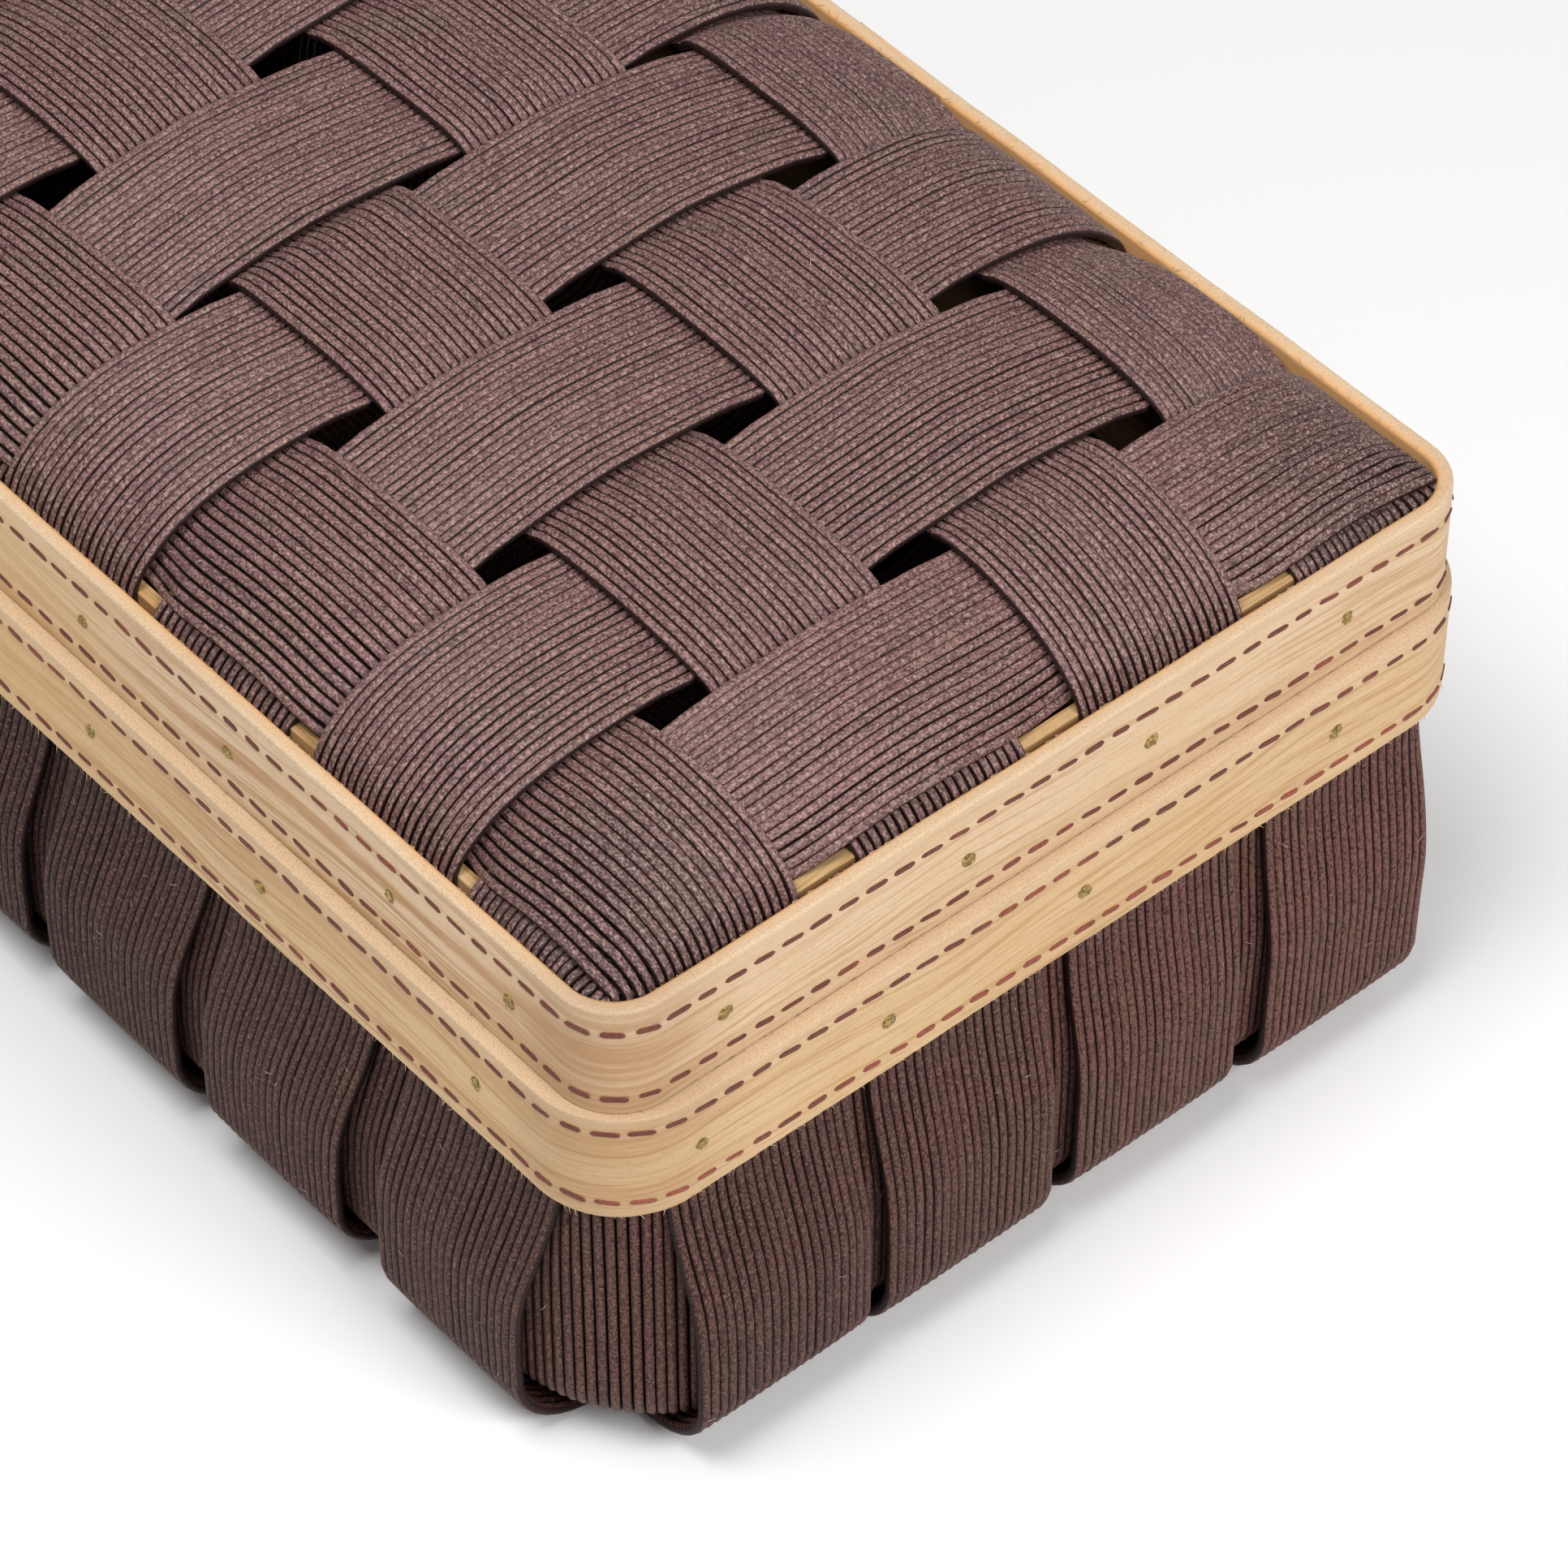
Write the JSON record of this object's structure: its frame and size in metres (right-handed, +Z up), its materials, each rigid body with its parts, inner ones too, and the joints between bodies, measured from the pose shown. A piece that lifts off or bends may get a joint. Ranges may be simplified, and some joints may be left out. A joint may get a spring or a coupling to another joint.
{
  "type": "woven lidded basket",
  "caption": "Rectangular basket plaited from flat ribbons of round cord, with bent veneer rims and a lift-off crowned woven lid.",
  "frame": {"origin": "centre of the footprint, on the surface that the basket stands on", "axes": "+Z up, +X along the long side, +Y along the short side; the pictured corner is at +X, -Y"},
  "size_m": [0.309, 0.207, 0.1389],
  "materials": {
    "outer_veneer": "bare bent wood veneer, pale cream with fine grain along the band",
    "inner_veneer": "bare bent wood veneer, yellow-brown",
    "woven_ribbon": "mauve-brown twisted paper cord, slightly waxy, glued side by side into flat ribbon",
    "filler_ribbon": "the same ribbon seen in the shade behind the wall ribbons"
  },
  "bodies": {
    "base": {"base_outer_band": "outer_veneer", "base_inner_band": "inner_veneer", "base_long_ribbon_1": "woven_ribbon", "base_long_ribbon_2": "woven_ribbon", "base_long_ribbon_3": "woven_ribbon", "base_long_ribbon_4": "woven_ribbon", "base_cross_ribbon_1": "woven_ribbon", "base_cross_ribbon_2": "woven_ribbon", "base_cross_ribbon_3": "woven_ribbon", "base_cross_ribbon_4": "woven_ribbon", "base_cross_ribbon_5": "woven_ribbon", "base_cross_ribbon_6": "woven_ribbon", "right_wall_filler_1": "filler_ribbon", "right_wall_filler_2": "filler_ribbon", "right_wall_filler_3": "filler_ribbon", "left_wall_filler_1": "filler_ribbon", "left_wall_filler_2": "filler_ribbon", "left_wall_filler_3": "filler_ribbon", "front_wall_filler_1": "filler_ribbon", "front_wall_filler_2": "filler_ribbon", "front_wall_filler_3": "filler_ribbon", "front_wall_filler_4": "filler_ribbon", "front_wall_filler_5": "filler_ribbon", "back_wall_filler_1": "filler_ribbon", "back_wall_filler_2": "filler_ribbon", "back_wall_filler_3": "filler_ribbon", "back_wall_filler_4": "filler_ribbon", "back_wall_filler_5": "filler_ribbon", "front_right_corner_ribbon": "filler_ribbon", "back_right_corner_ribbon": "filler_ribbon", "front_left_corner_ribbon": "filler_ribbon", "back_left_corner_ribbon": "filler_ribbon"},
    "lid": {"lid_outer_band": "outer_veneer", "lid_inner_band": "inner_veneer", "lid_locating_band": "inner_veneer", "lid_long_ribbon_1": "woven_ribbon", "lid_long_ribbon_2": "woven_ribbon", "lid_long_ribbon_3": "woven_ribbon", "lid_long_ribbon_4": "woven_ribbon", "lid_cross_ribbon_1": "woven_ribbon", "lid_cross_ribbon_2": "woven_ribbon", "lid_cross_ribbon_3": "woven_ribbon", "lid_cross_ribbon_4": "woven_ribbon", "lid_cross_ribbon_5": "woven_ribbon", "lid_cross_ribbon_6": "woven_ribbon", "lid_cross_ribbon_7": "woven_ribbon"}
  },
  "joints": [
    {"name": "lid_lift", "type": "slide", "parent": "base", "child": "lid", "axis": [0, 0, 1], "range_m": [0, 0.12]}
  ]
}
